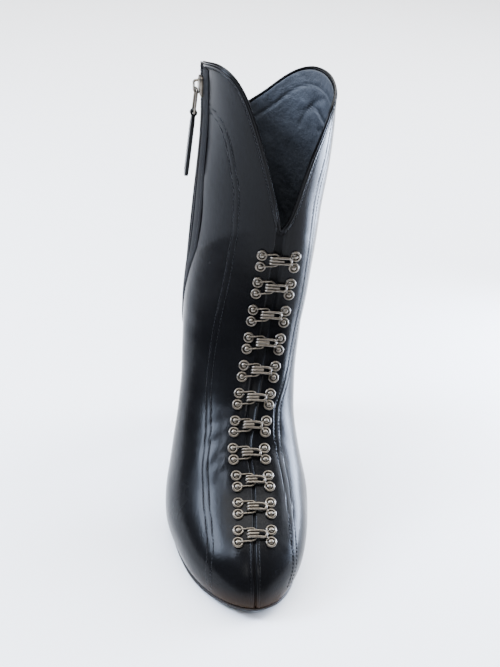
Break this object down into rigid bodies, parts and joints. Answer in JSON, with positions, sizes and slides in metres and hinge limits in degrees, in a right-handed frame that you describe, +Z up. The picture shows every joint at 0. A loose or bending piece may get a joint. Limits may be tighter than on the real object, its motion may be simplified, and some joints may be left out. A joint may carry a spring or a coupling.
{
  "type": "stiletto ankle boot",
  "caption": "Left stiletto ankle boot in polished black leather, with a tulip collar, a hook-and-eye front, a side zip with a hanging pull tab, a thin sole and a slim heel.",
  "frame": {"origin": "middle of the bounding box on the floor, so the forefoot and the heel tip rest at z = 0", "axes": "+Z up, -Y towards the toe, +X towards the outer side of the left foot; the zip is on the inner side, -X"},
  "size_m": [0.0974, 0.2236, 0.2666],
  "materials": {
    "polished_leather": "polished",
    "sole_leather": "satin",
    "lining_leather": "matte",
    "antique_brass": "antique",
    "zip_tape": "woven",
    "heel_tip_rubber": "matte"
  },
  "bodies": {
    "boot": {"upper": "polished_leather", "heel": "polished_leather", "outsole": "sole_leather", "insole": "lining_leather", "heel_tip": "heel_tip_rubber", "zip_chain": "zip_tape", "zip_slider": "antique_brass", "hook_01": "antique_brass", "hook_02": "antique_brass", "hook_03": "antique_brass", "hook_04": "antique_brass", "hook_05": "antique_brass", "hook_06": "antique_brass", "hook_07": "antique_brass", "hook_08": "antique_brass", "hook_09": "antique_brass", "hook_10": "antique_brass", "hook_11": "antique_brass", "eye_01": "antique_brass", "eye_02": "antique_brass", "eye_03": "antique_brass", "eye_04": "antique_brass", "eye_05": "antique_brass", "eye_06": "antique_brass", "eye_07": "antique_brass", "eye_08": "antique_brass", "eye_09": "antique_brass", "eye_10": "antique_brass", "eye_11": "antique_brass"},
    "zip_pull": {"zip_pull_link": "antique_brass", "zip_pull_tab": "polished_leather"}
  },
  "joints": [
    {"name": "zip_pull_swing", "type": "hinge", "parent": "boot", "child": "zip_pull", "pos_m": [-0.03179, 0.05806, 0.2484], "axis": [-0.1493, 0.9888, 0], "range_deg": [-3, 150]}
  ]
}
